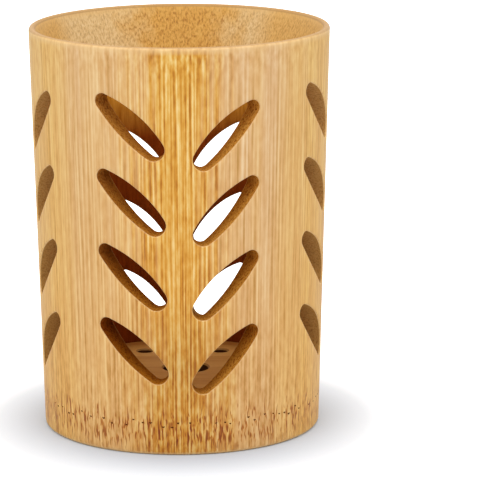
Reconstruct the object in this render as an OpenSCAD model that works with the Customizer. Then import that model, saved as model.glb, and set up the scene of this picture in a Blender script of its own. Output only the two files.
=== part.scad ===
// Toothbrush holder turned from one length of bamboo culm.
// The wall is a slightly tapered tube with a scooped mouth and rows of leaf-shaped slots set
// in a V. A drilled disc, let in on a shoulder above the foot, is the floor that drains it.
// The cup stands on the ring of its foot, at the origin. +Z is up and -Y is the front.

/* [Culm] */
// Height from the foot to the top of the lip
height = 108; // [96:1:130]
// Outside diameter at the mouth
mouth_d = 80; // [76:1:92]
// Outside diameter at the foot
foot_d = 74; // [70:1:80]
// Thickness of the wall above the floor
wall = 6; // [4.5:0.5:7]

/* [Mouth] */
// Width of the rounded lip
lip_w = 1.8; // [1.2:0.2:3]
// Depth over which the bore is scooped out to the lip
scoop_h = 16; // [10:1:20]

/* [Foot] */
// Rounding of the outer edge of the foot
foot_round = 1.2; // [0.6:0.2:2]
// Bevel of the inner edge of the foot
foot_bevel = 0.6; // [0.4:0.2:1]
// Width of the ring that the cup stands on
foot_ring_w = 7.5; // [7:0.5:9]
// Depth of the hollow under the floor
recess_h = 10; // [6:0.5:11]

/* [Floor disc] */
// Thickness of the disc
floor_t = 4.4; // [3:0.2:5]
// Gap between the disc and the bore all round
floor_gap = 0.15; // [0.1:0.05:0.3]
// Bevel of the disc's upper edge
floor_bevel = 0.4; // [0.2:0.1:0.8]
// Diameter of the middle drain hole
drain_d = 12.2; // [8:0.2:16]
// How far the middle drain hole stands to the right of the axis
drain_shift = 1.1; // [0:0.1:2]
// Diameter of the small drain holes
weep_d = 4.2; // [3:0.2:5]
// Diameter of the circle that the small drain holes stand on
weep_circle_d = 41.6; // [34:0.2:48]
// Number of small drain holes
weep_count = 6; // [4:1:8]
// Bevel round every drain hole
drain_bevel = 0.4; // [0.2:0.1:0.6]

/* [Leaf slots] */
// Greatest width of a leaf
leaf_w = 7.5; // [6.4:0.1:8.4]
// Radius of the upper side of a leaf
leaf_upper_r = 29; // [26:1:34]
// Radius of the lower side of a leaf
leaf_lower_r = 58; // [50:1:70]
// Radius of the outer end of a leaf
leaf_tip_r = 2.1; // [1.8:0.1:2.6]
// Radius of the inner end of a leaf
leaf_heel_r = 2.9; // [2.4:0.1:3]
// Slope of the leaves left of a stem
left_slope = 42; // [36:1:48]
// Slope of the leaves right of a stem
right_slope = 45; // [36:1:48]
// Turn about the axis from a stem to the middle of its leaves
leaf_turn = 18.7; // [17.5:0.1:21]
// How much lower the leaves right of a stem are
right_drop = 2.3; // [0:0.1:2.6]
// How much higher the leaves of the stem at the back are
back_rise = 1; // [0:0.1:1.4]
// From the top of the lip down to the middle of the highest leaf
lip_to_leaf = 20.5; // [19:0.5:26]
// From the floor up to the middle of the lowest leaf
floor_to_leaf = 13.7; // [13:0.1:20]
// Number of leaves above one another on each side of a stem
row_count = 4; // [2:1:4]
// Number of stems round the cup
stem_count = 4; // [2:1:4]

/* [Hidden] */
$fn = 96;
// How far a cutting solid runs past what it cuts
overrun = 3;
// Slope of the outside of the culm from the vertical
taper = atan((mouth_d - foot_d) / 2 / height);
lip_r = lip_w / 2;
floor_top = recess_h + floor_t;
scoop_z = height - scoop_h;
recess_r = foot_d / 2 - foot_ring_w;
top_leaf_z = height - lip_to_leaf;
row_pitch = (top_leaf_z - floor_top - floor_to_leaf) / (row_count - 1);

// Outside radius of the culm at height z
function outside_r(z) = foot_d / 2 + (mouth_d - foot_d) / 2 * z / height;

// Radius of the bore at height z, below the scoop
function bore_r(z) = outside_r(z) - wall;

// Centre of a rounding of radius r that touches the outside of the culm at height z
function edge_centre(z, r) = [outside_r(z) - r / cos(taper), z];

// Where that rounding touches the outside of the culm
function edge_touch(z, r) = edge_centre(z, r) + r * [cos(taper), -sin(taper)];

// Direction of the line from the scoop's lower edge that grazes the lip's rounding
function scoop_slope(from, centre) =
    atan2(centre[1] - from[1], centre[0] - from[0]) + asin(lip_r / norm(centre - from));

// Section of the wall in the plane of radius and height
module wall_section() {
    foot_centre = edge_centre(foot_round, foot_round);
    lip_centre = edge_centre(height - lip_r, lip_r);
    scoop_start = [bore_r(scoop_z), scoop_z];
    slope = scoop_slope(scoop_start, lip_centre);
    polygon([
        [foot_centre[0], 0],
        foot_centre,
        edge_touch(foot_round, foot_round),
        edge_touch(height - lip_r, lip_r),
        lip_centre,
        lip_centre + lip_r * [-sin(slope), cos(slope)],
        scoop_start,
        [bore_r(recess_h), recess_h],
        [recess_r, recess_h],
        [recess_r, foot_bevel],
        [recess_r + foot_bevel, 0]
    ]);
    translate(foot_centre) circle(r = foot_round);
    translate(lip_centre) circle(r = lip_r);
}

// Centres of the two long arcs of a leaf lie on the Y axis, either side of its length
upper_centre = [0, leaf_w / 2 - leaf_upper_r];
lower_centre = [0, leaf_lower_r - leaf_w / 2];

// Centre of an end of radius r that both long arcs run into; side is 1 for the inner end
function end_centre(r, side) =
    let (apart = lower_centre[1] - upper_centre[1],
         up = (pow(leaf_upper_r - r, 2) - pow(leaf_lower_r - r, 2) + apart * apart) / (2 * apart))
    [side * sqrt(pow(leaf_upper_r - r, 2) - up * up), upper_centre[1] + up];

// Where an end of centre c and radius r meets the long arc round centre arc
function end_touch(c, r, arc) = c + r * (c - arc) / norm(c - arc);

heel = end_centre(leaf_heel_r, 1);
tip = end_centre(leaf_tip_r, -1);
leaf_mid = (heel[0] + leaf_heel_r + tip[0] - leaf_tip_r) / 2;

// Outline of a leaf lying along X, heel to the right, its middle at the origin
module leaf_outline() {
    heel_up = end_touch(heel, leaf_heel_r, upper_centre);
    heel_down = end_touch(heel, leaf_heel_r, lower_centre);
    tip_up = end_touch(tip, leaf_tip_r, upper_centre);
    tip_down = end_touch(tip, leaf_tip_r, lower_centre);
    translate([-leaf_mid, 0]) {
        intersection() {
            translate(upper_centre) circle(r = leaf_upper_r);
            translate(lower_centre) circle(r = leaf_lower_r);
            polygon([
                tip_up,
                tip_down,
                [tip_down[0], -leaf_w],
                [heel_down[0], -leaf_w],
                heel_down,
                heel_up,
                [heel_up[0], leaf_w],
                [tip_up[0], leaf_w]
            ]);
        }
        translate(heel) circle(r = leaf_heel_r);
        translate(tip) circle(r = leaf_tip_r);
    }
}

// A leaf cut straight through the front wall at height z
module leaf_cut(z, slope) {
    from_r = bore_r(floor_top) - overrun;
    translate([0, -from_r, z])
        rotate([90, 0, 0])
            linear_extrude(height = mouth_d / 2 + overrun - from_r)
                rotate(-slope)
                    leaf_outline();
}

// All leaves of a stem at the front, raised by rise, the left side above the right by right_drop
module stem_leaves(rise) {
    for (row = [0 : row_count - 1]) {
        z = top_leaf_z + rise - row * row_pitch;
        rotate([0, 0, -leaf_turn]) leaf_cut(z, left_slope);
        rotate([0, 0, leaf_turn]) mirror([1, 0, 0]) leaf_cut(z - right_drop, right_slope);
    }
}

module culm_wall() {
    color("burlywood")
        difference() {
            rotate_extrude() wall_section();
            for (stem = [0 : stem_count - 1])
                rotate([0, 0, stem * 360 / stem_count])
                    stem_leaves(2 * stem == stem_count ? back_rise : 0);
        }
}

// A bevelled hole through the floor disc
module drain_hole(d) {
    translate([0, 0, recess_h - overrun])
        cylinder(d = d, h = floor_t + 2 * overrun);
    translate([0, 0, floor_top - drain_bevel])
        cylinder(d1 = d, d2 = d + 2 * drain_bevel, h = drain_bevel);
}

module drain_floor() {
    rim_z = floor_top - floor_bevel;
    color("peru")
        difference() {
            rotate_extrude()
                polygon([
                    [0, recess_h],
                    [bore_r(recess_h) - floor_gap, recess_h],
                    [bore_r(rim_z) - floor_gap, rim_z],
                    [bore_r(rim_z) - floor_gap - floor_bevel, floor_top],
                    [0, floor_top]
                ]);
            translate([drain_shift, 0, 0]) drain_hole(drain_d);
            for (hole = [0 : weep_count - 1])
                rotate([0, 0, hole * 360 / weep_count])
                    translate([weep_circle_d / 2, 0, 0])
                        drain_hole(weep_d);
        }
}

culm_wall();
drain_floor();
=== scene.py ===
# %% [markdown]
# # A toothbrush holder turned from bamboo
# The holder is one length of bamboo culm, turned to a slightly tapered cup. Its mouth is scooped
# out to a thin lip, leaf-shaped slots are cut through its wall in rows that make a V, and a
# drilled disc inside the foot is its floor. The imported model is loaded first, as a fixed frame,
# and every piece below is made in its place and at its size.

# %% The frame
import math
from functools import partial

import bpy
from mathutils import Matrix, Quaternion, Vector


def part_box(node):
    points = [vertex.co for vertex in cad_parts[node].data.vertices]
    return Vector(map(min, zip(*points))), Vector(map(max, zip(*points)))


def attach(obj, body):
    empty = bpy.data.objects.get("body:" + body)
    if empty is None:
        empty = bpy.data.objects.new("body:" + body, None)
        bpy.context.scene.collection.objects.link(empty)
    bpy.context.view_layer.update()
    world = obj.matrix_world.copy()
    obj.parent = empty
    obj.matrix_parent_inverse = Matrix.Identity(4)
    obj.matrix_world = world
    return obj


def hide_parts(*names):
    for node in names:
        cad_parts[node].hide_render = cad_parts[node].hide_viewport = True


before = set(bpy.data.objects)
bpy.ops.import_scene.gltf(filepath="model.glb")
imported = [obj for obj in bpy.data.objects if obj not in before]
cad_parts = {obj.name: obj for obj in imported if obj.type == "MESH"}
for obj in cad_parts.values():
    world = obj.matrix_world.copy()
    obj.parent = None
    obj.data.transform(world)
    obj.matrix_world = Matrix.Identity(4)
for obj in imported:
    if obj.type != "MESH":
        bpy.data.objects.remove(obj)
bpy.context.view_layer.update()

_, wall_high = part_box("culm_wall")
disc_low, disc_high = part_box("drain_floor")
MM = 0.001
print("nodes:", sorted(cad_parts), "height:", round(wall_high.z / MM, 2), "mm")

# %% [markdown]
# ## Colours and nodes
# Colours are written as sRGB hex values, as on a paint chart, and one function turns them into
# the linear values that sockets expect. Another adds a node to a tree, with its settings and its
# links. Each tree below gets its own copy of it, called add, so that each reads from top to
# bottom like a recipe. A node's type is given without the name of its family, such as ShaderNode,
# and with its operation after a dot; Math alone adds. A group of nodes is given itself. Inputs
# are given in the order in which the node shows them, or by name where that is plainer. So the
# numbers of a Map Range are what its value runs from and to, and what that becomes, where it
# isn't 0 to 1.

# %% Functions for colours and nodes
def linear(hex_colour):
    """An sRGB hex colour as linear red, green, blue and alpha."""
    parts = [int(hex_colour[i:i + 2], 16) / 255 for i in (1, 3, 5)]
    return (*[c / 12.92 if c <= 0.04045 else ((c + 0.055) / 1.055) ** 2.4 for c in parts], 1)


def add_node(tree, kind, *values, stops=(), **settings):
    """Adds a node. An input is a value, a socket, a node (its first output) or a list of them."""
    if isinstance(kind, bpy.types.NodeTree):
        kind, settings = "Group", {"node_tree": kind}
    kind, _, operation = kind.partition(".")
    if operation:
        settings["operation"] = operation
    families = (tree.bl_idname.removesuffix("Tree"), "ShaderNode", "FunctionNode", "")
    family = next(name for name in families if hasattr(bpy.types, name + kind))
    node = tree.nodes.new(family + kind)
    for name, value in settings.items():
        setattr(node, name, value)
    live = [socket for socket in node.inputs if socket.enabled]
    inputs = {}
    for place, value in enumerate(values):
        inputs.update(value if isinstance(value, dict) else {place: value})
    for key, value in inputs.items():
        socket = live[key] if isinstance(key, int) else next(s for s in live if s.name == key)
        for source in value if isinstance(value, list) else [value]:
            if isinstance(source, bpy.types.Node):
                source = next(s for s in source.outputs if s.enabled)
            if isinstance(source, bpy.types.NodeSocket):
                tree.links.new(source, socket)
            else:
                socket.default_value = source
    for place, colour in stops:
        node.color_ramp.elements.new(place).color = linear(colour)
    if stops:
        node.color_ramp.elements.remove(node.color_ramp.elements[0])
        node.color_ramp.elements.remove(node.color_ramp.elements[-1])
    return node


print("straw, linear:", [round(c, 3) for c in linear("#E4BC84")])

# %% [markdown]
# ## Sizes of the cup
# These are the sizes that the cup is turned and cut to, in millimetres. Some come from the frame.
# The others are repeated here by name, because a mesh doesn't know them.

# %% Sizes in millimetres
HEIGHT, MOUTH_R = round(wall_high.z / MM, 2), 40
RECESS_H, FLOOR_TOP = round(disc_low.z / MM, 2), round(disc_high.z / MM, 2)
FOOT_R, WALL, LIP_W, SCOOP_H = 37, 6, 1.8, 16
FOOT_ROUND, FOOT_BEVEL, FOOT_RING_W = 1.2, 0.6, 7.5
TAPER = (MOUTH_R - FOOT_R) / HEIGHT
SCOOP_Z = HEIGHT - SCOOP_H
RECESS_R = FOOT_R - FOOT_RING_W


def outside_r(z):
    """Outside radius of the culm at height z."""
    return FOOT_R + TAPER * z


print("taper:", round(TAPER, 4), "floor top:", FLOOR_TOP, "mm")

# %% [markdown]
# ## The camera
# The cup is seen from a little above, through a long lens at about arm's length, so that its
# mouth is a flat ellipse and its sides hardly converge. The camera's distance and height come
# from the ellipses of the mouth and the foot. A small shift moves the cup left in the picture.

# %% Camera
IMAGE_W, IMAGE_H = 489, 478
CAMERA_DISTANCE, CAMERA_HEIGHT = 880, 241.04
CAMERA_TURN, CAMERA_PITCH, CAMERA_ROLL = math.radians(0.8), math.radians(12), math.radians(0.44)
LENS_PX, CENTRE_X, CENTRE_Y = 3350.6, 180.65, 223.9

lens = bpy.data.cameras.new("camera")
lens.sensor_width = 36
lens.lens = LENS_PX / IMAGE_W * lens.sensor_width
lens.shift_x = (IMAGE_W / 2 - CENTRE_X) / IMAGE_W
lens.shift_y = (CENTRE_Y - IMAGE_H / 2) / IMAGE_W
lens.clip_start, lens.clip_end = 0.01, 10
camera = bpy.data.objects.new("camera", lens)
bpy.context.scene.collection.objects.link(camera)
across, along = math.sin(CAMERA_TURN), math.cos(CAMERA_TURN)
camera.location = Vector((across, -along, 0)) * CAMERA_DISTANCE * MM
camera.location.z = CAMERA_HEIGHT * MM
aim = Vector((-across, along, -math.tan(CAMERA_PITCH))).normalized()
camera.rotation_mode = "QUATERNION"
camera.rotation_quaternion = Quaternion(aim, CAMERA_ROLL) @ aim.to_track_quat("-Z", "Y")
bpy.context.scene.camera = camera
print("lens", round(lens.lens), "mm, shift", round(lens.shift_x, 3), round(lens.shift_y, 3))

# %% [markdown]
# ## A white room
# The room is white for the camera and in reflections, and lights the cup at a slightly lower
# level, so that the wood isn't washed out. Light from all round is what leaves the wall so evenly
# lit in the photograph, a little darker towards the paper.

# %% World
bpy.context.scene.view_settings.view_transform = "Standard"
ROOM_LIGHT = 0.8
world = bpy.data.worlds.new("white_room")
world.use_nodes = True
bpy.context.scene.world = world
world.node_tree.nodes.clear()
add = partial(add_node, world.node_tree)
ray = add("LightPath").outputs
seen = add("Math", ray["Is Camera Ray"], ray["Is Glossy Ray"])
seen = add("Math", seen, ray["Is Transmission Ray"], use_clamp=True)
level = add("MapRange", seen, 0, 1, ROOM_LIGHT)
add("OutputWorld", add("Background", (1, 1, 1, 1), level))
print("room light", ROOM_LIGHT)

# %% [markdown]
# ## A sheet of paper
# The cup stands on a sheet of paper so large that its edges stay out of sight. This sheet and
# other simple meshes are made from their points by one function.

# %% Paper
SHEET_HALF = 3.0


def mesh_object(name, points, faces, edges=()):
    """An object in the scene with a mesh of its own, made of points given in metres."""
    mesh = bpy.data.meshes.new(name)
    mesh.from_pydata(points, edges, faces)
    made = bpy.data.objects.new(name, mesh)
    bpy.context.scene.collection.objects.link(made)
    return made


corners = [(x * SHEET_HALF, y * SHEET_HALF, 0) for x, y in ((-1, -1), (1, -1), (1, 1), (-1, 1))]
paper = mesh_object("paper", corners, [(0, 1, 2, 3)])
print("paper:", 2 * SHEET_HALF, "m wide")

# %% [markdown]
# ## White paper
# Paper that is only lit turns grey further away, so for the camera it also glows: hardly at the
# foot, where the cup's shadow has to stay, a little round it and fully further off, where it
# meets the white world. Close to the foot the paper's own colour is darker and cooler: a painted
# contact shadow, cooled so that the warm light from the wood doesn't tint it. Both zones are
# slightly oval, since the shadow reaches less far to the sides.

# %% Finish: white paper
def new_material(name):
    """A material with an empty tree, and its add function."""
    made = bpy.data.materials.new(name)
    made.use_nodes = True
    made.node_tree.nodes.clear()
    return made, partial(add_node, made.node_tree)


white, add = new_material("white_paper")
spot = add("TexCoord").outputs["Object"]
spot = add("VectorMath.MULTIPLY", spot, (1.1, 0.97, 1))
away = add("VectorMath.LENGTH", spot).outputs["Value"]
# Painted contact shadow: near the foot the paper's own colour is darker and cooler.
near_foot_shadow = add("MapRange", away, 0.037, 0.070, 1, 0, interpolation_type="SMOOTHSTEP")
paper_and_painted_shadow = add("Mix", near_foot_shadow, (0.79, 0.81, 0.84, 1), (0.64, 0.70, 0.78, 1), data_type="RGBA")
glow = add("MapRange", away, 0.038, 0.060, 0.02, 0.28)
beyond = add("MapRange", away, 0.055, 0.12, 0, 0.9)
glow = add("Math", glow, beyond)
ray = add("LightPath").outputs
glow = add("Math.MULTIPLY", glow, ray["Is Camera Ray"])
shine = add("Emission", (1, 1, 1, 1), glow)
add("OutputMaterial", add("AddShader", add("BsdfDiffuse", paper_and_painted_shadow), shine))
paper.data.materials.append(white)
print(white.name, len(white.node_tree.nodes), "nodes")

# %% [markdown]
# ## Lamps
# Two large soft lamps stand before the cup, left and right, and give the room's light a
# direction. One hangs above it and lights the floor disc through the mouth.

# %% Lamps
LAMP_AIM = Vector((0, 0, 0.05))
for name, turn, rise, away, wide, power in (
    ("left_lamp", -26, 50, 0.95, 0.6, 1.2),
    ("right_lamp", 26, 50, 0.95, 0.6, 1.0),
    ("top_lamp", 0, 88, 0.9, 0.35, 1.6),
):
    light = bpy.data.lights.new(name, "AREA")
    light.shape, light.size, light.energy = "DISK", wide, power
    lamp = bpy.data.objects.new(name, light)
    bpy.context.scene.collection.objects.link(lamp)
    turn, rise = math.radians(turn), math.radians(rise)
    level, height = math.cos(rise), math.sin(rise)
    towards = Vector((math.sin(turn) * level, -math.cos(turn) * level, height))
    lamp.location = towards * away + LAMP_AIM
    lamp.rotation_mode = "QUATERNION"
    lamp.rotation_quaternion = (-towards).to_track_quat("-Z", "Y")
    print(name, [round(v, 2) for v in lamp.location], power, "W")

# %% [markdown]
# ## Fibre space
# The fibres of a culm run straight up it and lie a little closer together where it is narrower.
# This group turns a point of the cup into a place among those fibres, in millimetres: the same
# fibre keeps the same place from foot to mouth. A pattern drawn there runs as streaks along the
# skin, and shows as speckles where a cut goes across the fibres, as in the real wood. The group
# also gives the depth below the skin, the height, and how far a point is turned from the front,
# as an angle with a sign and as plain degrees to either side.

# %% Group: culm_fibre_space, its outputs
def new_tree(name, family, inputs, outputs):
    """A tree, its add function and its inputs' identifiers. An input has the kind of its value."""
    tree = bpy.data.node_groups.new(name, family + "NodeTree")
    identifiers = {}
    for label, value in inputs.items():
        kind = "Geometry" if value is None else type(value).__name__.capitalize()
        socket = tree.interface.new_socket(label, in_out="INPUT", socket_type="NodeSocket" + kind)
        identifiers[label] = socket.identifier
        if kind in ("Float", "Int"):
            socket.default_value = value
    for label, kind in outputs.items():
        tree.interface.new_socket(label, in_out="OUTPUT", socket_type="NodeSocket" + kind)
    return tree, partial(add_node, tree), identifiers


space, add, _ = new_tree("culm_fibre_space", "Shader", {}, {
    "Fibre": "Vector", "Depth": "Float", "Height": "Float", "Turn": "Float", "Angle": "Float"})
print(space.name, [socket.name for socket in space.interface.items_tree])

# %% [markdown]
# ## Depth and fibres
# The depth below the skin comes from a function, since the culm's own tree asks for it too. For
# the fibres, each spot is moved level, to or from the axis, until the skin has the same radius
# all the way up. Where in the pattern the cup begins is a free choice: another start gives
# another culm.

# %% Group: culm_fibre_space, its nodes
REFERENCE_R = 38
PATTERN_START = (31, 5, 12)


def below_skin(add, spot, taper, foot_r):
    """A spot's coordinates, its distance from the axis, and its depth below the skin."""
    axes = add("SeparateXYZ", spot).outputs
    level = add("VectorMath.MULTIPLY", spot, (1, 1, 0))
    radius = add("VectorMath.LENGTH", level).outputs["Value"]
    skin_r = add("Math.MULTIPLY_ADD", axes["Z"], taper, foot_r)
    return axes, radius, add("Math.SUBTRACT", skin_r, radius)


spot = add("TexCoord").outputs["Object"]
spot = add("VectorMath.SCALE", spot, {"Scale": 1 / MM})
axes, radius, depth = below_skin(add, spot, TAPER, FOOT_R)
even_r = add("Math.SUBTRACT", REFERENCE_R, depth)
spread = add("Math.DIVIDE", even_r, radius)
spread = add("CombineXYZ", spread, spread, 1)
fibre = add("VectorMath.MULTIPLY", spot, spread)
fibre = add("VectorMath.ADD", fibre, PATTERN_START)
front = add("Math.MULTIPLY", axes["Y"], -1)
angle = add("Math.ARCTAN2", axes["X"], front)
turn = add("Math.DEGREES", angle)
turn = add("Math.ABSOLUTE", turn)
add("NodeGroupOutput", fibre, depth, axes["Z"], turn, angle)
print(space.name, len(space.nodes), "nodes")

# %% [markdown]
# ## Fibre noise
# Every pattern in the wood is noise that is drawn out along the fibres: broad bands, streaks,
# single threads and short flecks differ only in how wide and how long they are. This group is
# noise with a width and a length in millimetres.

# %% Group: fibre_noise
noise_inputs = {"Fibre": Vector(), "Width": 1.0, "Length": 10.0, "Detail": 2.0, "Roughness": 0.5}
drawn, add, _ = new_tree(
    "fibre_noise", "Shader", noise_inputs, {"Value": "Float", "Colour": "Color"})
given = add("NodeGroupInput").outputs
size = add("CombineXYZ", given["Width"], given["Width"], given["Length"])
shrunk = add("VectorMath.DIVIDE", given["Fibre"], size)
grain = add("TexNoise", {
    "Vector": shrunk, "Scale": 1, "Detail": given["Detail"], "Roughness": given["Roughness"],
}).outputs
add("NodeGroupOutput", grain["Fac"], grain["Color"])
print(drawn.name, len(drawn.nodes), "nodes")

# %% [markdown]
# ## How a finish begins and ends
# One function begins a finish with its place among the fibres, and one ends it with its surface.
# Lacquer, oil and bare wood all bend light by about 1.5, so a satin coat is told from matt wood
# by its roughness and how much it reflects. The grain stands up by a few hundredths of a
# millimetre, so a Bump node is enough for it.

# %% Functions for finishes
WOOD_IOR = 1.5


def new_finish(name):
    """A new material, its add function, and the outputs of the culm's fibre space in it."""
    made, add = new_material(name)
    return made, add, add(space).outputs


def coated(add, colour, roughness, shine, relief=None):
    """Ends a finish with its shader. Relief is a pattern, its strength and its height in mm."""
    surface = {
        "Base Color": colour, "Roughness": roughness, "IOR": WOOD_IOR, "Specular IOR Level": shine}
    if relief:
        pattern, strength, height = relief
        surface["Normal"] = add("Bump", {
            "Strength": strength, "Distance": height * MM, "Height": pattern})
    add("OutputMaterial", add("BsdfPrincipled", surface))


print("IOR of wood:", WOOD_IOR)

# %% [markdown]
# ## The skin's grain
# The skin is the sanded outside of the culm under a thin satin lacquer. Sanding takes off the
# green rind and lays bare the fibres just under it: bundles about a millimetre wide that run up
# the wall, single dark and light threads, and broad bands where the culm weathered differently.
# Three noises of different widths add up to them. The bundles also stand at nearly even
# distances, 190 round the cup, which noise alone can't give, so a sine of the angle is added,
# that drifts a little sideways and shows only here and there. A last noise is short and soft, for
# the cloudy flecks where the sanding belt bit deeper: near the foot, and again under the lip,
# where the streaks are softer in return.

# %% Finish: sanded skin, its grain
BUNDLES = 190
skin, add, here = new_finish("sanded_bamboo_skin")
fibre, height, turn = here["Fibre"], here["Height"], here["Turn"]
bands = add(drawn, fibre, 5, 180)
streaks = add(drawn, fibre, 0.85, 36, 2, 0.6)
threads = add(drawn, fibre, 0.45, 26, 1)
flecks = add(drawn, fibre, 1.1, 3.2)
grain = add("CombineXYZ", bands, streaks, threads)
grain = add("VectorMath.DOT_PRODUCT", grain, (0.3, 0.85, 1.3))
grain = add("Math.SUBTRACT", grain.outputs["Value"], 0.725)
drift = add(drawn, fibre, 2.5, 110)
drift = add("Math.MULTIPLY", drift, 16)
comb = add("Math.MULTIPLY_ADD", here["Angle"], BUNDLES, drift)
comb = add("Math.SINE", comb)
shown = add(drawn, fibre, 1.6, 34)
shown = add("MapRange", shown, 0.35, 0.6, 0.03, 0.25)
grain = add("Math.MULTIPLY_ADD", comb, shown, grain)
softer = add("MapRange", height, 94, 104, 1, 0.6)
grain = add("Math.SUBTRACT", grain, 0.5)
grain = add("Math.MULTIPLY_ADD", grain, softer, 0.5)
flecks = add("Math.SUBTRACT", flecks, 0.5)
rim = add("MapRange", height, 98, 105, 0.65, 1.7)
bite = add("MapRange", height, 36, 14, 0.1, 0.95)
bite = add("Math", rim, bite)
grain = add("Math.MULTIPLY_ADD", flecks, bite, grain)
print("with its grain:", len(skin.node_tree.nodes), "nodes")

# %% [markdown]
# ## The skin's colour
# The side of this culm that grew in the sun is golden and strongly streaked, and stands in front.
# It turns within some 20 degrees, streak by streak, into paler straw, which grows warmer again at
# the sides. So two colour ramps follow the grain, and a ragged mask round the axis mixes them. On
# the straw the grain is weaker, with wider streaks of its own, which a further noise adds, and
# the broad bands are yellower and paler by turns. The gold fades in the last 2 mm under the lip
# as a painted highlight of the lip's rounding. Towards the foot the colour is made a little
# darker and browner, the gold more than the straw. Such tints are laid over a colour by a Mix
# node that multiplies, with the settings TINTED.

# %% Finish: sanded skin, its colour
TINTED = {"data_type": "RGBA", "blend_type": "MULTIPLY"}

ragged = add(drawn, fibre, 1.6, 45)
off_front = add("Math.MULTIPLY_ADD", ragged, 34, turn)
golden = add("MapRange", off_front, 22, 44, 1, 0, interpolation_type="SMOOTHSTEP")
# Painted highlight of the lip's rounding: the gold fades in the last 2 mm under the lip.
under_lip_highlight = add("MapRange", height, HEIGHT - 2, HEIGHT - 0.7)
kept = add("Math.MULTIPLY_ADD", under_lip_highlight, -0.5, 1)
golden = add("Math.MULTIPLY", golden, kept)
gold = add("ValToRGB", grain, stops=[
    (0.05, "#B46C08"), (0.35, "#DA972C"), (0.55, "#E6AE4C"), (0.75, "#F0C46C"), (0.95, "#FAD890")])
calm = add("MapRange", height, 100, 40, 0.58, 0.68)
wide = add(drawn, fibre, 1.4, 40, 1)
calmed = add("Math.SUBTRACT", grain, 0.5)
calmed = add("Math.MULTIPLY_ADD", calmed, calm, 0.17)
calmed = add("Math.MULTIPLY_ADD", wide, 0.66, calmed)
straw = add("ValToRGB", calmed, stops=[
    (0.05, "#C4924C"), (0.4, "#E0B077"), (0.6, "#E9C08C"), (0.95, "#F6D6A8")])
tinge = add("MapRange", bands, 0.38, 0.6)
straw = add("Mix", tinge, straw, (1.01, 0.99, 0.86, 1), **TINTED)
colour = add("Mix", golden, straw, gold, data_type="RGBA")
warmer = add("MapRange", turn, 40, 60)
colour = add("Mix", warmer, colour, (1.04, 1, 0.64, 1), **TINTED)
# Darker and browner towards the foot, the gold more than the straw.
share = add("Math.DIVIDE", height, HEIGHT)
straw_shade = add("ValToRGB", share, stops=[(0.2, "#FBF1DA"), (0.9, "#FFFFFF")])
gold_shade = add("ValToRGB", share, stops=[
    (0.1, "#EEE2D0"), (0.22, "#E6DCCE"), (0.4, "#FFFBFC"), (0.9, "#FFFFFF")])
shade = add("Mix", golden, straw_shade, gold_shade, data_type="RGBA")
colour = add("Mix", 1, colour, shade, **TINTED)
print("with its colour:", len(skin.node_tree.nodes), "nodes")

# %% [markdown]
# ## The old node near the foot
# The lowest 11 mm were cut from a node, where a partition grew across the culm. The fibres there
# are short and tangled, so the skin shows dark strokes 2 to 5 mm long, light ones between them
# and a ragged upper edge, and it is smoother and golden again in the last 3 mm. The strokes are
# noise whose place is pushed about by a second noise. They only tint what is already there, on
# the straw a trace less than on the gold.

# %% Finish: sanded skin, the old node
wander = add(drawn, fibre, 2.4, 4.5)
push = add("VectorMath.SUBTRACT", wander.outputs["Colour"], (0.5, 0.5, 0.5))
push = add("VectorMath.MULTIPLY", push, (1, 1, 2.5))
bent = add("VectorMath.ADD", fibre, push)
strokes = add(drawn, bent, 0.45, 3.6, 1)
strokes = add("ValToRGB", strokes, stops=[
    (0.33, "#A87026"), (0.41, "#D8AC60"), (0.455, "#FCF2DC"), (0.49, "#FFFFFF")])
edge = add(drawn, fibre, 1.2, 40)
edge = add("Math.MULTIPLY_ADD", edge, -14, height)
upper = add("MapRange", edge, 3, 5.5, 1, 0)
last = add("MapRange", height, 0.5, 4, 0.25)
tangled = add("Math.MULTIPLY", upper, last)
weaker = add("MapRange", golden, 0, 1, 0.95)
tangled = add("Math.MULTIPLY", tangled, weaker)
colour = add("Mix", tangled, colour, strokes, **TINTED)
print("with the old node:", len(skin.node_tree.nodes), "nodes")

# %% [markdown]
# ## The skin's edges, with painted highlight and shade
# Where the skin turns over an edge, a painted highlight lightens it: round the slots a pale line
# half a millimetre wide, under the lip a broken one. The crest of the lip gets painted shade, a
# brown band that is wider round the back than in front. The scoop meets it from inside, so it is
# a function for both finishes. The depth below the skin and the height tell where the edges are.
# The lacquer itself is satin, so the roughness is middling.

# %% Finish: sanded skin, its edges and lacquer
CREST_SHADE = "#B68850"


def crested(add, here, colour):
    """A finish's colour with painted shade on the lip's crest, in a band wider round the back."""
    wider = add("MapRange", here["Turn"], 55, 85, 0.35, 0.85)
    crest = add("Math", wider, here["Height"])
    crest = add("MapRange", crest, HEIGHT, HEIGHT + 0.3, 0, 0.7)
    return add("Mix", crest, colour, linear(CREST_SHADE), data_type="RGBA")


# Painted highlight where the skin turns over an edge, round the slots and under the lip.
turned_over = add("MapRange", here["Depth"], 0.02, 0.2, 0, 0.5)
below_lip = add("Math.LESS_THAN", height, HEIGHT - 4)
slot_edge_highlight = add("Math.MULTIPLY", turned_over, below_lip)
lip_highlight = add("Math.MULTIPLY_ADD", under_lip_highlight, flecks, under_lip_highlight)
lip_highlight = add("Math.MULTIPLY", lip_highlight, 0.5)
edge_highlight = add("Math.MAXIMUM", slot_edge_highlight, lip_highlight, use_clamp=True)
colour = add("Mix", edge_highlight, colour, linear("#F3CC90"), data_type="RGBA")
coated(add, crested(add, here, colour), 0.45, 0.35, relief=(grain, 0.25, 0.04))
print(skin.name, len(skin.node_tree.nodes), "nodes")
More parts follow.
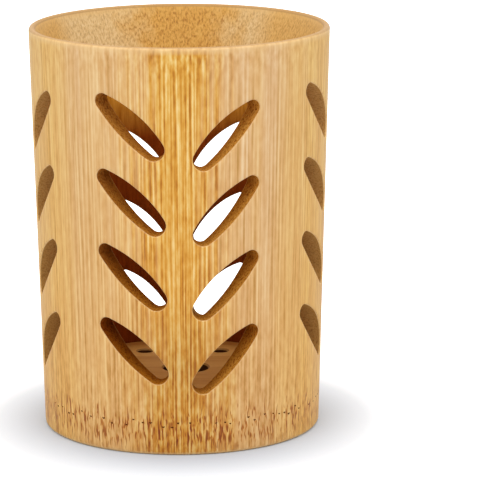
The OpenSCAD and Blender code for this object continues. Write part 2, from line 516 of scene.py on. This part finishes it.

# %% [markdown]
# ## Scooped end grain
# Inside the mouth the cutter went across the fibres at a slant, so each bundle shows as a speck
# that is darker and a little taller than wide. The cut was sanded and lacquered like the skin.
# The specks are strongest where the culm is golden, at the back, and weaker at both sides, where
# the wood is warm again, on the right further back than on the left. Near the lip the sandpaper
# has smeared them out, and the crest has the same painted shade as outside.

# %% Finish: scooped end grain
scooped, add, here = new_finish("scooped_end_grain")
fibre, height = here["Fibre"], here["Height"]
shifted = add("Math.MULTIPLY_ADD", here["Angle"], math.degrees(1), -10)
shifted = add("Math.WRAP", shifted, 180, -180)
shifted = add("Math.ABSOLUTE", shifted)
specks = add(drawn, fibre, 0.43, 1.1, 2, 0.6)
cloud = add(drawn, fibre, 5, 7)
off_back = add("Math.MULTIPLY_ADD", cloud, -30, here["Turn"])
golden = add("MapRange", off_back, 131, 154, interpolation_type="SMOOTHSTEP")
warmer = add("MapRange", shifted, 138, 126, 0, 0.75)
smeared = add("MapRange", height, 105.5, 107, 0, 0.4)
warm = add("Math.MAXIMUM", golden, warmer)
warm = add("Math.MAXIMUM", warm, smeared)
colour = add("Mix", warm, linear("#F2D49E"), linear("#E8B65C"), data_type="RGBA")
speck = add("ValToRGB", specks, stops=[(0.28, "#BC9860"), (0.5, "#F2E6CC"), (0.66, "#FFFFFF")])
contrast = add("MapRange", golden, 0, 1, 0.75)
contrast = add("Math.SUBTRACT", contrast, smeared, use_clamp=True)
colour = add("Mix", contrast, colour, speck, **TINTED)
coated(add, crested(add, here, colour), 0.5, 0.35, relief=(specks, 0.3, 0.05))
print(scooped.name, len(scooped.node_tree.nodes), "nodes")

# %% [markdown]
# ## The bore
# Below the scoop the bore is only reamed. The inner wood of a culm is soft and pithy, takes up
# stain and dust, and is neither sanded nor lacquered, so it is matt and brown. Downwards it is
# painted darker, as shade out of the light. The reamer tears the fibres, so its fine upright
# lines are short.

# %% Finish: reamed bore
bored, add, here = new_finish("reamed_bamboo_bore")
lines = add(drawn, here["Fibre"], 0.8, 6, 2, 0.6)
light = add("ValToRGB", lines, stops=[(0.3, "#BE7A1E"), (0.7, "#E2A23E")])
painted_shade_colour = add("ValToRGB", lines, stops=[(0.3, "#7A3208"), (0.7, "#944410")])
# Painted shade: the bore is darker downwards, out of the light.
low = add("MapRange", here["Height"], 83, 72)
colour = add("Mix", low, light, painted_shade_colour, data_type="RGBA")
coated(add, colour, 0.9, 0.05, relief=(lines, 0.3, 0.05))
print(bored.name, len(bored.node_tree.nodes), "nodes")

# %% [markdown]
# ## Milled slot faces
# The slots were cut with a milling cutter. Their faces carry painted shade: darkest near the
# bore, but for a painted highlight, a thin pale line on the very edge, where the inner rounding
# catches the light. The outer ends of the leaves are painted darker, as shade in the narrow
# points, those left of a stem more than those right of it, since the light comes from the left,
# and the lower rows are made browner than the upper ones. A colour ramp over the angle from the
# stem says so. Fibres end on most of the face, so specks lie over all of this. At the sides,
# where the culm is straw and not golden, the cuts are greyer and the specks fainter.

# %% Finish: milled slot faces
milled, add, here = new_finish("milled_bamboo_slot")
specks = add(drawn, here["Fibre"], 0.45, 0.9, 2, 0.6)
# Painted shade: the face is darker towards the bore.
deep = add("MapRange", here["Depth"], 0.5, 5.4)
colour = add("Mix", deep, linear("#F0BA66"), linear("#CA8E38"), data_type="RGBA")
off_stem = add("Math.WRAP", here["Angle"], math.pi / 4, -math.pi / 4)
off_stem = add("MapRange", off_stem, -math.pi / 4, math.pi / 4)
# Painted shade at the outer ends of the leaves, deeper left of a stem.
end_shade = add("ValToRGB", off_stem, stops=[
    (0.12, "#A0683A"), (0.24, "#C6A868"), (0.4, "#F0DCA2"),
    (0.6, "#FFFDF4"), (0.76, "#FFFAE4"), (0.88, "#DEC698")])
lower = add("MapRange", here["Height"], 88, 30, 0.5)
colour = add("Mix", lower, colour, end_shade, **TINTED)
side = add("MapRange", here["Turn"], 44, 56)
colour = add("Mix", side, colour, linear("#D0A469"), data_type="RGBA")
colour = add("Mix", lower, colour, (0.78, 0.72, 0.58, 1), **TINTED)
speck = add("ValToRGB", specks, stops=[(0.3, "#A07A44"), (0.48, "#EEDDBA"), (0.6, "#FBF6EC")])
contrast = add("Math.MULTIPLY_ADD", side, -0.4, 1)
colour = add("Mix", contrast, colour, speck, **TINTED)
# Painted highlight: a thin pale line on the inner edge.
edge = add("MapRange", here["Depth"], 5.5, 5.8, 0, 0.35)
colour = add("Mix", edge, colour, linear("#D8A868"), data_type="RGBA")
coated(add, colour, 0.9, 0.03, relief=(specks, 0.5, 0.08))
print(milled.name, len(milled.node_tree.nodes), "nodes")

# %% [markdown]
# ## Root pits
# A ring of tiny pits goes round the old node, where rootlets had begun to grow. Sanding has left
# only their bottoms, filled with dark dust, so their finish is dark brown and quite matt.

# %% Finish: root pits
pitted, add, here = new_finish("dusty_root_pit")
dust = add(drawn, here["Fibre"], 0.2, 0.2)
colour = add("ValToRGB", dust, stops=[(0.3, "#5E2E04"), (0.7, "#8A4C0C")])
coated(add, colour, 0.85, 0.2)
print(pitted.name, len(pitted.node_tree.nodes), "nodes")

# %% [markdown]
# ## The floor's board
# The floor disc is cut from a board of bamboo strips glued side by side, each 6 mm wide with a
# tone of its own, and its fibres lie level. It was stained and rubbed with oil, not lacquered. The
# disc is painted darker towards its rim, as shade in the corner along the wall. A step of the
# crossing coordinate numbers the strips, and the number seeds their tone. The walls of the holes
# are painted dark, as shade inside them: they are told by their normals, which lie level too.

# %% Finish: oiled bamboo board
STRIP_W = 6
board, add = new_material("oiled_bamboo_board")
spot = add("TexCoord").outputs["Object"]
spot = add("VectorMath.SCALE", spot, {"Scale": 1 / MM})
axes = add("SeparateXYZ", spot).outputs
laid = add("CombineXYZ", axes["Y"], axes["Z"], axes["X"])
grain = add(drawn, laid, 0.6, 14, 2, 0.6)
strip = add("Math.DIVIDE", axes["Y"], STRIP_W)
strip = add("Math.FLOOR", strip)
tone = add("TexWhiteNoise", strip, noise_dimensions="1D").outputs["Value"]
value = add("Math.MULTIPLY_ADD", tone, 0.3, grain)
colour = add("ValToRGB", value, stops=[(0.35, "#C4823C"), (0.65, "#D4964A"), (0.9, "#E0A65A")])
level = add("VectorMath.MULTIPLY", spot, (1, 1, 0))
radius = add("VectorMath.LENGTH", level).outputs["Value"]
# Painted shade in the corner along the wall: the disc is darker towards its rim.
corner_shade = add("MapRange", radius, 22.5, 28)
colour = add("Mix", corner_shade, colour, (0.68, 0.58, 0.46, 1), **TINTED)
# Painted shade inside the holes, whose walls are told by their level normals.
hole_wall_shade = add("NewGeometry").outputs["True Normal"]
hole_wall_shade = add("SeparateXYZ", hole_wall_shade).outputs["Z"]
hole_wall_shade = add("Math.ABSOLUTE", hole_wall_shade)
hole_wall_shade = add("MapRange", hole_wall_shade, 0.9, 0.5, 0, 0.9)
colour = add("Mix", hole_wall_shade, colour, linear("#4A2408"), data_type="RGBA")
coated(add, colour, 0.6, 0.12, relief=(grain, 0.2, 0.03))
print(board.name, len(board.node_tree.nodes), "nodes")

# %% [markdown]
# ## The wall's section
# A turned cup is one section swept round an axis. The section is drawn here as a closed line of
# points: up the bore, along the scoop, over the rounded lip, down the outside and round the foot.
# Its long sides are divided, because many small faces are what the slots are cut from cleanly.

# %% Section of the wall
STEP, ARC_STEPS = 2.5, 10


def arc(centre, radius, start, end, steps=ARC_STEPS):
    """Points along an arc between two angles in degrees, ends included."""
    turns = [math.radians(start + (end - start) * i / steps) for i in range(steps + 1)]
    return [(centre[0] + radius * math.cos(t), centre[1] + radius * math.sin(t)) for t in turns]


def between(start, end):
    """Evenly spaced points between two ends, without the ends."""
    count = max(1, round(math.dist(start, end) / STEP))
    return [tuple(a + (b - a) * i / count for a, b in zip(start, end)) for i in range(1, count)]


lean = math.atan(TAPER)
lip_r = LIP_W / 2
lip = (outside_r(HEIGHT - lip_r) - lip_r / math.cos(lean), HEIGHT - lip_r)
foot = (outside_r(FOOT_ROUND) - FOOT_ROUND / math.cos(lean), FOOT_ROUND)
scoop = (outside_r(SCOOP_Z) - WALL, SCOOP_Z)
shoulder = (outside_r(RECESS_H) - WALL, RECESS_H)
rise = math.atan2(lip[1] - scoop[1], lip[0] - scoop[0]) + math.asin(lip_r / math.dist(lip, scoop))
over_lip = arc(lip, lip_r, 90 + math.degrees(rise), -math.degrees(lean), 16)
under_foot = arc(foot, FOOT_ROUND, -math.degrees(lean), -90)
inside = [(RECESS_R + FOOT_BEVEL, 0), (RECESS_R, FOOT_BEVEL), (RECESS_R, RECESS_H), shoulder, scoop]
section = []
for start, end in zip(inside, inside[1:] + over_lip[:1]):
    section += [start] + between(start, end)
section += over_lip + between(over_lip[-1], under_foot[0])
section += under_foot + between(under_foot[-1], inside[0])
print("section:", len(section), "points, up to", round(max(p[0] for p in section), 2), "mm out")

# %% [markdown]
# ## The leaf
# A leaf is a lens of two long arcs whose ends are rounded with two smaller arcs that run into
# them. Each arc is walked by its own angle, so the curve stays exact however few points it has.
# Both leaves of a stem have this outline, one tilted to the left and one mirrored to the right.

# %% Outline of a leaf
LEAF_W, UPPER_R, LOWER_R, TIP_R, HEEL_R = 7.5, 29, 58, 2.1, 2.9
LEFT_SLOPE, RIGHT_SLOPE = 42, 45
upper_y, lower_y = LEAF_W / 2 - UPPER_R, LOWER_R - LEAF_W / 2


def end_centre(radius, side):
    """Centre of an end circle that both long arcs run into; side is 1 for the inner end."""
    apart = lower_y - upper_y
    up = ((UPPER_R - radius) ** 2 - (LOWER_R - radius) ** 2 + apart ** 2) / (2 * apart)
    return side * math.sqrt((UPPER_R - radius) ** 2 - up ** 2), upper_y + up


def bearing(point, arc_y):
    """Angle in degrees, from 0 to 360, at which a point lies from a long arc's centre."""
    return math.degrees(math.atan2(point[1] - arc_y, point[0])) % 360


heel, tip = end_centre(HEEL_R, 1), end_centre(TIP_R, -1)
leaf_mid = (heel[0] + HEEL_R + tip[0] - TIP_R) / 2
up_heel, up_tip = bearing(heel, upper_y), bearing(tip, upper_y)
low_tip, low_heel = bearing(tip, lower_y), bearing(heel, lower_y)


def leaf_outline(grow, slope, side):
    """A leaf's outline, wider all round by grow; side is -1 left of a stem and 1 right of it."""
    points = arc((0, upper_y), UPPER_R + grow, up_heel, up_tip, 16)[:-1]
    points += arc(tip, TIP_R + grow, up_tip, low_tip, 10)[:-1]
    points += arc((0, lower_y), LOWER_R + grow, low_tip, low_heel, 14)[:-1]
    points += arc(heel, HEEL_R + grow, low_heel, up_heel + 360, 12)[:-1]
    cos, sin = math.cos(math.radians(slope)), -math.sin(math.radians(slope))
    tilted = [((x - leaf_mid) * cos - y * sin, (x - leaf_mid) * sin + y * cos) for x, y in points]
    return tilted if side < 0 else [(-x, y) for x, y in reversed(tilted)]


print("leaf:", round(heel[0] + HEEL_R - tip[0] + TIP_R, 2), "mm long")

# %% [markdown]
# ## Stacks of rings
# Three of the bodies below are stacks of rings with equally many points: the cutter for the
# leaves, the floor disc and the drills for its holes. One function joins such a stack into a
# closed body, with a face at each end, and keeps every face turned outwards.

# %% Function that joins rings
def loft(rings):
    """Points and faces of a closed body from a stack of rings that run anticlockwise."""
    count = len(rings[0])
    faces = [tuple(reversed(range(count)))]
    for base in range(0, count * (len(rings) - 1), count):
        for i, j in zip(range(count), [*range(1, count), 0]):
            faces.append((base + i, base + j, base + count + j, base + count + i))
    last = count * (len(rings) - 1)
    faces.append(tuple(range(last, last + count)))
    return [point for ring in rings for point in ring], faces


print("a stack of two triangles has", len(loft([[(0, 0, 0)] * 3] * 2)[1]), "faces")

# %% [markdown]
# ## The cutter's way through the wall
# The slots are milled through the wall, towards the axis, and their edges are sanded round. The
# cutter is a stack of outlines for each leaf: it flares a little where it leaves the bore, widens
# by 0.2 mm on its way through the wall and flares again, on a rounding, where it leaves the skin.
# Each ring of the stack has its growth, how far it stands out, and whether from bore or skin.

# %% Stack of the cutter
EDGE_R, INNER_EDGE_R, EDGE_SWEEP = 0.4, 0.25, 65
OUT_RUN, CLEAR, DRAFT, EDGE_STEPS = 0.25, 2.0, 0.2, 3


def rounded_edge(radius):
    """Growth and stand-out of the rings that leave a rounded edge when they are cut away."""
    turns = [math.radians(EDGE_SWEEP * i / EDGE_STEPS) for i in range(EDGE_STEPS + 1)]
    rings = [(radius * (1 - math.cos(t)), radius * (math.sin(t) - 1)) for t in turns]
    return rings + [(rings[-1][0] + OUT_RUN * math.tan(turns[-1]), rings[-1][1] + OUT_RUN)]


inner, outer = rounded_edge(INNER_EDGE_R), rounded_edge(EDGE_R)
inner, outer = inner + [(inner[-1][0], CLEAR)], outer + [(outer[-1][0], CLEAR)]
stack = [(grow - DRAFT, -out, 1) for grow, out in reversed(inner)]
stack += [(grow, out, 0) for grow, out in outer]
print("stack:", len(stack), "rings")

# %% [markdown]
# ## The cutter for a pair of leaves
# The cutter is kept flat here: x goes across, z goes up, and y says only how far a ring stands
# out from the bore or the skin. The faces of the outer rounding get the finish of the skin, so
# the edge of a slot is lacquered like it, and the others get that of a milled slot. A face holds
# its finish as a number, the place in FINISHES.

# %% Cutter of one pair of leaves
LEAF_TURN, RIGHT_DROP = math.radians(18.7), 2.3
LIP_TO_LEAF, FLOOR_TO_LEAF = 20.5, 13.7
TOP_LEAF_Z = HEIGHT - LIP_TO_LEAF
FINISHES = "Skin", "Scoop", "Bore", "Slot", "Pit"
SKIN, SLOT, PIT = (FINISHES.index(label) for label in ("Skin", "Slot", "Pit"))

points, faces, at_bore, own_turn, face_finish = [], [], [], [], []
for slope, side, drop in ((LEFT_SLOPE, -1, 0), (RIGHT_SLOPE, 1, RIGHT_DROP)):
    rings = [[(x * MM, out * MM, (TOP_LEAF_Z - drop + y) * MM)
              for x, y in leaf_outline(grow, slope, side)] for grow, out, deep in stack]
    leaf_points, leaf_faces = loft(rings)
    count = len(rings[0])
    faces += [tuple(len(points) + i for i in face) for face in leaf_faces]
    points += leaf_points
    at_bore += [deep for grow, out, deep in stack for i in range(count)]
    own_turn += [side * LEAF_TURN] * len(leaf_points)
    sides = [SLOT] * len(inner) + [SKIN] * (len(outer) - 1)
    face_finish += [SLOT] + [finish for finish in sides for i in range(count)] + [SLOT]
leaf_pair = mesh_object("leaf_pair_cutter", points, faces)
attributes = leaf_pair.data.attributes
attributes.new("at_bore", "FLOAT", "POINT").data.foreach_set("value", at_bore)
attributes.new("own_turn", "FLOAT", "POINT").data.foreach_set("value", own_turn)
attributes.new("finish", "INT", "FACE").data.foreach_set("value", face_finish)
print("cutter:", len(faces), "faces in", 2 * len(stack), "rings")

# %% [markdown]
# ## Inputs of the culm's tree
# The culm is made by one geometry tree, because its shape follows rules: a sweep, a pattern of
# rows and stems, and a ring of scattered pits. Every size and count that someone may want to
# change is a named input. The finishes are inputs too, one for each number a face can carry. The
# tree of the floor disc will begin in the same way, so that is a function.

# %% Inputs of the culm's tree
ROWS, STEMS, BACK_RISE = 4, 4, 1
ROW_PITCH = (TOP_LEAF_Z - FLOOR_TOP - FLOOR_TO_LEAF) / (ROWS - 1)
culm_inputs = {
    "Segments": 384, "Foot radius": FOOT_R * MM, "Taper": TAPER, "Wall": WALL * MM,
    "Scoop height": SCOOP_Z * MM, "Lip radius": LIP_W / 2 * MM, "Bevel": FOOT_BEVEL * MM,
    "Leaf pair": leaf_pair, "Rows": ROWS, "Stems": STEMS,
    "Row pitch": ROW_PITCH * MM, "Back rise": BACK_RISE * MM,
    "Pits": 100, "Pit height": 8.6 * MM, "Pit scatter": 0.95 * MM, "Pit radius": 0.38 * MM,
    "Pit depth": 0.3 * MM, "Pit gaps": 0.26, "Pit seed": 5,
    **dict(zip(FINISHES, (skin, scooped, bored, milled, pitted))),
}


def shaping_tree(name, inputs):
    """A tree that turns a base into a body, its add function, and its inputs' identifiers."""
    return new_tree(name, "Geometry", {"Base": None, **inputs}, {"Body": "Geometry"})


culm_tree, add, culm_sockets = shaping_tree("turned_and_slotted_culm", culm_inputs)
given = add("NodeGroupInput").outputs
print("inputs:", len(culm_inputs), "row pitch", round(ROW_PITCH, 2), "mm")

# %% [markdown]
# ## Sweep
# The section is turned into a curve and swept round a circle with the radius of the foot. The
# circle's normal is held upright, so the section stays in the plane through the axis.

# %% Culm tree: sweep
circle = add("CurvePrimitiveCircle", given["Segments"], {"Radius": given["Foot radius"]})
circle = add("SetCurveNormal", circle, mode="Z_UP")
culm = add("CurveToMesh", circle, add("MeshToCurve", given["Base"]))
print("after the sweep:", len(culm_tree.nodes), "nodes")

# %% [markdown]
# ## Finish numbers
# Each face gets a number that says how it is finished: 0 for the skin, 1 for cut end grain and 2
# for the bore. The depth of the face below the skin tells them apart: the skin reaches over the
# lip's crest, and the bore is what lies deep, below the scoop and above the foot's bevel.

# %% Culm tree: finish numbers
axes, _, depth = below_skin(add, add("InputPosition"), given["Taper"], given["Foot radius"])
cut = add("Math.GREATER_THAN", depth, given["Lip radius"])
nearly = add("Math.SUBTRACT", given["Wall"], 0.2 * MM)
deep = add("Math.GREATER_THAN", depth, nearly)
below = add("Math.LESS_THAN", axes["Z"], given["Scoop height"])
above = add("Math.GREATER_THAN", axes["Z"], given["Bevel"])
reamed = add("Math.MULTIPLY", deep, below)
number = add("Math.MULTIPLY_ADD", reamed, above, cut)
culm = add("StoreNamedAttribute", {
    "Geometry": culm, "Name": "finish", "Value": number}, data_type="INT", domain="FACE")
print("after the numbers:", len(culm_tree.nodes), "nodes")

# %% [markdown]
# ## One pair of leaves for each row and stem
# A point is made for each pair. Its index gives its stem and its row, and from them come the turn
# of the stem about the axis and the drop of the row below the top one. On the stem at the back
# all leaves stand 1 mm higher. Both values are stored on the point, and the copy of the cutter
# that is placed there carries them along.

# %% Culm tree: rows and stems
index = add("InputIndex")
count = add("Math.MULTIPLY", given["Rows"], given["Stems"])
leaves = add("Points", {"Count": count})
stem = add("Math.DIVIDE", index, given["Rows"])
stem = add("Math.FLOOR", stem)
share = add("Math.DIVIDE", stem, given["Stems"])
stem_turn = add("Math.MULTIPLY", share, math.tau)
at_back = add("Math.COMPARE", share, 0.5, 0.01)
lift = add("Math.MULTIPLY", at_back, given["Back rise"])
row = add("Math.MODULO", index, given["Rows"])
drop = add("Math.MULTIPLY", row, given["Row pitch"])
drop = add("Math.SUBTRACT", drop, lift)
for name, value in (("stem_turn", stem_turn), ("drop", drop)):
    leaves = add("StoreNamedAttribute", {
        "Geometry": leaves, "Name": name, "Value": value}, data_type="FLOAT", domain="POINT")
pair = add("ObjectInfo", given["Leaf pair"]).outputs["Geometry"]
leaves = add("RealizeInstances", add("InstanceOnPoints", leaves, {"Instance": pair}))
print("after the leaves:", len(culm_tree.nodes), "nodes")

# %% [markdown]
# ## Leaves wrapped round the culm
# Each flat point is moved to its place on the culm. The distance across becomes a turn about the
# axis, taken at the skin, so that the outlines at the skin and at the bore lie on the same rays
# and the cut runs towards the axis. The radius is that of the skin at the point's height, less
# the wall for the rings at the bore, plus the little that the ring stands out.

# %% Culm tree: wrapped leaves
read = {
    name: add("InputNamedAttribute", name, data_type="FLOAT")
    for name in ("at_bore", "own_turn", "drop", "stem_turn")
}
flat = add("SeparateXYZ", add("InputPosition")).outputs
z = add("Math.SUBTRACT", flat["Z"], read["drop"])
skin_r = add("Math.MULTIPLY_ADD", z, given["Taper"], given["Foot radius"])
under = add("Math.MULTIPLY", read["at_bore"], given["Wall"])
r = add("Math.SUBTRACT", under, skin_r)
r = add("Math.SUBTRACT", r, flat["Y"])
place = add("CombineXYZ", 0, r, z)
turn = add("Math.DIVIDE", flat["X"], skin_r)
turn = add("Math.ARCSINE", turn)
turn = add("Math", turn, read["own_turn"])
turn = add("Math", turn, read["stem_turn"])
place = add("VectorRotate", {"Vector": place, "Angle": turn}, rotation_type="Z_AXIS")
leaves = add("SetPosition", {"Geometry": leaves, "Position": place})
print("after the wrap:", len(culm_tree.nodes), "nodes")

# %% [markdown]
# ## Where the root pits lie
# The pits stand in a ring round the old node. Three values are drawn by chance for each: the
# first shifts it aside from its even share of the turn, the second moves it up or down, and the
# third takes about a quarter of the pits away, which leaves gaps. Each draw has its own seed, so
# the ring is the same every time.

# %% Culm tree: places of the root pits
draws = []
for step, (low, high) in enumerate(((-0.35, 0.35), (-1, 1), (0, 1))):
    seed = add("Math", given["Pit seed"], step)
    draws.append(add("RandomValue", {"Min": low, "Max": high, "Seed": seed}, data_type="FLOAT"))
aside, aloft, gap = draws
angle = add("Math", index, aside)
angle = add("Math.MULTIPLY", angle, math.tau)
angle = add("Math.DIVIDE", angle, given["Pits"])
z = add("Math.MULTIPLY_ADD", aloft, given["Pit scatter"], given["Pit height"])
r = add("Math.MULTIPLY_ADD", z, given["Taper"], given["Foot radius"])
place = add("CombineXYZ", r, 0, z)
place = add("VectorRotate", {"Vector": place, "Angle": angle}, rotation_type="Z_AXIS")
pits = add("Points", given["Pits"], place)
gap = add("Math.LESS_THAN", gap, given["Pit gaps"])
pits = add("DeleteGeometry", pits, gap, domain="POINT")
print("after their places:", len(culm_tree.nodes), "nodes")

# %% [markdown]
# ## The shape of a root pit
# A pit is what a flat blunt cone leaves that is pressed into the skin, its narrow end inwards.
# Eight sides are enough for a hole under a millimetre wide. Each cone is turned to look at the
# axis and stretched by chance, so some pits are long and some wide.

# %% Culm tree: cones of the root pits
inwards = add("VectorMath.MULTIPLY", add("InputPosition"), (-1, -1, 0))
aim = add("AlignRotationToVector", {"Vector": inwards}, axis="Z")
narrow = add("Math.MULTIPLY", given["Pit radius"], 0.6)
cone = add("MeshCone", {
    "Vertices": 8, "Radius Top": narrow, "Radius Bottom": given["Pit radius"],
    "Depth": given["Pit depth"]}).outputs["Mesh"]
seed = add("Math", given["Pit seed"], len(draws))
stretch = add("RandomValue", {
    "Min": (0.7, 0.7, 1), "Max": (1.3, 1.3, 1), "Seed": seed}, data_type="FLOAT_VECTOR")
pits = add("InstanceOnPoints", pits, {"Instance": cone, "Rotation": aim, "Scale": stretch})
pits = add("RealizeInstances", pits)
pits = add("StoreNamedAttribute", {
    "Geometry": pits, "Name": "finish", "Value": PIT}, data_type="INT", domain="FACE")
print("after the pits:", len(culm_tree.nodes), "nodes")

# %% [markdown]
# ## Cut, smoothed and finished
# The leaves and the pits are cut from the swept culm in one step. A cut face keeps the finish
# number of the tool that made it. Faces are shaded smooth, but for edges that turn by more than
# 28 degrees. One function does both, for the disc's tree too. Each number then gets its material.

# %% Culm tree: cut and finish
SHARP_TURN = math.radians(28)


def cut_and_smoothed(add, body, cutters):
    """What cutters leave of a body, with smooth faces between its sharp edges."""
    body = add("MeshBoolean.DIFFERENCE", {"Mesh 1": body, "Mesh 2": cutters}, solver="MANIFOLD")
    bend = add("InputMeshEdgeAngle").outputs["Unsigned Angle"]
    sharp = add("Math.GREATER_THAN", bend, SHARP_TURN)
    body = add("SetShadeSmooth", add("SetShadeSmooth", body), sharp, False, domain="EDGE")
    return add("RealizeInstances", body)


body = cut_and_smoothed(add, culm, [pits, leaves])
finish = add("InputNamedAttribute", "finish", data_type="INT")
for number, label in enumerate(FINISHES):
    same = add("Compare.EQUAL", finish, number, data_type="INT")
    body = add("SetMaterial", body, same, given[label])
add("NodeGroupOutput", body)
print("culm tree:", len(culm_tree.nodes), "nodes")

# %% [markdown]
# ## The culm
# The tree is run once, on the section, and what comes out is kept as a plain mesh. The section is
# laid out as the sweep wants it: its first axis points away from the circle's middle and its
# second one down.

# %% Culm
def made_by(tree, sockets, inputs, name, base):
    """Runs a geometry tree on a base object, and puts the plain mesh it makes in its place."""
    modifier = base.modifiers.new(name, "NODES")
    modifier.node_group = tree
    for label, value in inputs.items():
        modifier[sockets[label]] = value
    result = base.evaluated_get(bpy.context.evaluated_depsgraph_get())
    mesh = bpy.data.meshes.new_from_object(result)
    bpy.data.objects.remove(base)
    mesh.name = name
    piece = bpy.data.objects.new(name, mesh)
    bpy.context.scene.collection.objects.link(piece)
    return piece


count = len(section)
edges = [(i, (i + 1) % count) for i in range(count)]
wire = mesh_object("section", [((r - FOOT_R) * MM, -z * MM, 0) for r, z in section], [], edges)
slotted_culm = made_by(culm_tree, culm_sockets, culm_inputs, "slotted_culm", wire)
bpy.data.objects.remove(leaf_pair)
triangles = sum(len(face.vertices) - 2 for face in slotted_culm.data.polygons)
print("slotted_culm:", triangles, "triangles")

# %% [markdown]
# ## Disc and drills
# The floor disc is a stack of circles that follows the bore, a small gap inside it, and turns
# over into an eased upper edge. A drill is a straight stack that flares at the disc's upper face
# and a little at its lower one, as each hole's edges were broken with a countersink.

# %% Disc and drills
FLOOR_GAP, FLOOR_BEVEL, DRAIN_BEVEL, BURR, PAST = 0.15, 0.4, 0.4, 0.15, 1.0
DRAIN_D, WEEP_D, DISC_POINTS = 12.2, 4.2, 192


def circle_at(radius, z, points):
    """A ring of evenly spaced points, anticlockwise from above, in metres."""
    turns = [math.tau * i / points for i in range(points)]
    return [(radius * math.cos(t) * MM, radius * math.sin(t) * MM, z * MM) for t in turns]


def drill(name, diameter, points):
    """An object that cuts a hole of a diameter through the disc, with both edges broken."""
    r, top, low = diameter / 2, FLOOR_TOP, RECESS_H
    steps = [(r + BURR + PAST, low - PAST), (r, low + BURR), (r, top - DRAIN_BEVEL),
             (r + DRAIN_BEVEL + PAST, top + PAST)]
    return mesh_object(name, *loft([circle_at(r, z, points) for r, z in steps]))


rim = arc((outside_r(FLOOR_TOP) - WALL - FLOOR_GAP - FLOOR_BEVEL, FLOOR_TOP - FLOOR_BEVEL),
          FLOOR_BEVEL, -math.degrees(lean), 90, 5)
profile = [(outside_r(RECESS_H) - WALL - FLOOR_GAP, RECESS_H)] + rim
disc = mesh_object("disc", *loft([circle_at(r, z, DISC_POINTS) for r, z in profile]))
middle_drill = drill("middle_drill", DRAIN_D, 64)
weep_drill = drill("weep_drill", WEEP_D, 32)
print("disc:", round(2 * profile[0][0], 2), "mm across below,", len(profile), "rings")

# %% [markdown]
# ## Holes drilled by a tree
# The holes follow a rule too: six small ones on a circle, and a large one in the middle that
# stands 1.1 mm to the right, as in the photograph. The tree sets the drills out, cuts them from
# the disc, and gives the rest the finish of the board.

# %% Disc tree
disc_inputs = {
    "Weeps": 6, "Weep circle": 41.6 / 2 * MM, "Weep drill": weep_drill,
    "Middle drill": middle_drill, "Shift": 1.1 * MM, "Board": board,
}
disc_tree, add, disc_sockets = shaping_tree("drilled_disc", disc_inputs)
given = add("NodeGroupInput").outputs
ring = add("MeshCircle", given["Weeps"], given["Weep circle"])
weep = add("ObjectInfo", given["Weep drill"]).outputs["Geometry"]
weeps = add("RealizeInstances", add("InstanceOnPoints", ring, {"Instance": weep}))
large = add("ObjectInfo", given["Middle drill"]).outputs["Geometry"]
shift = add("CombineXYZ", given["Shift"])
large = add("Transform", large, {"Translation": shift})
body = cut_and_smoothed(add, given["Base"], [weeps, large])
add("NodeGroupOutput", add("SetMaterial", body, {"Material": given["Board"]}))
drilled_disc = made_by(disc_tree, disc_sockets, disc_inputs, "drilled_disc", disc)
bpy.data.objects.remove(middle_drill)
bpy.data.objects.remove(weep_drill)
print("drilled_disc:", len(drilled_disc.data.polygons), "faces")

# %% [markdown]
# ## Pieces on their body
# Nothing on the cup moves, so both pieces ride the one body of the frame, in the places of its
# wall and its floor.

# %% Pieces on their body
for piece, node, slot in (
    (slotted_culm, "culm_wall", "bamboo_culm"), (drilled_disc, "drain_floor", "bamboo_floor"),
):
    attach(piece, "root")
    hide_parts(node)
